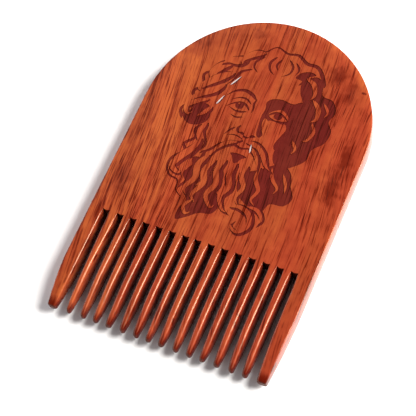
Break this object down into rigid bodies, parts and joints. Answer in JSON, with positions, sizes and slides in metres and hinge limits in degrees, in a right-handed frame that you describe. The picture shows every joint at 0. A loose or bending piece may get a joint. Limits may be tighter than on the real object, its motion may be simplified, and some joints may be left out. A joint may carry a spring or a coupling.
{
  "type": "beard comb",
  "caption": "Flat arched wooden beard comb with slim tapering teeth between two wide guard teeth and a bearded head engraved on its front.",
  "frame": {"origin": "middle of the comb's footprint, on the plane of its flat back", "axes": "+Z out of the engraved front face, +Y from the tooth tips to the top of the arch, +X to the right seen from the front"},
  "size_m": [0.0654, 0.1, 0.005],
  "materials": {
    "hardwood": "oiled and polished to a satin gloss"
  },
  "bodies": {
    "root": {"handle_plate": "hardwood", "guard_tooth_left": "hardwood", "guard_tooth_right": "hardwood", "tooth_01": "hardwood", "tooth_02": "hardwood", "tooth_03": "hardwood", "tooth_04": "hardwood", "tooth_05": "hardwood", "tooth_06": "hardwood", "tooth_07": "hardwood", "tooth_08": "hardwood", "tooth_09": "hardwood", "tooth_10": "hardwood", "tooth_11": "hardwood", "tooth_12": "hardwood", "tooth_13": "hardwood", "tooth_14": "hardwood"}
  },
  "joints": []
}
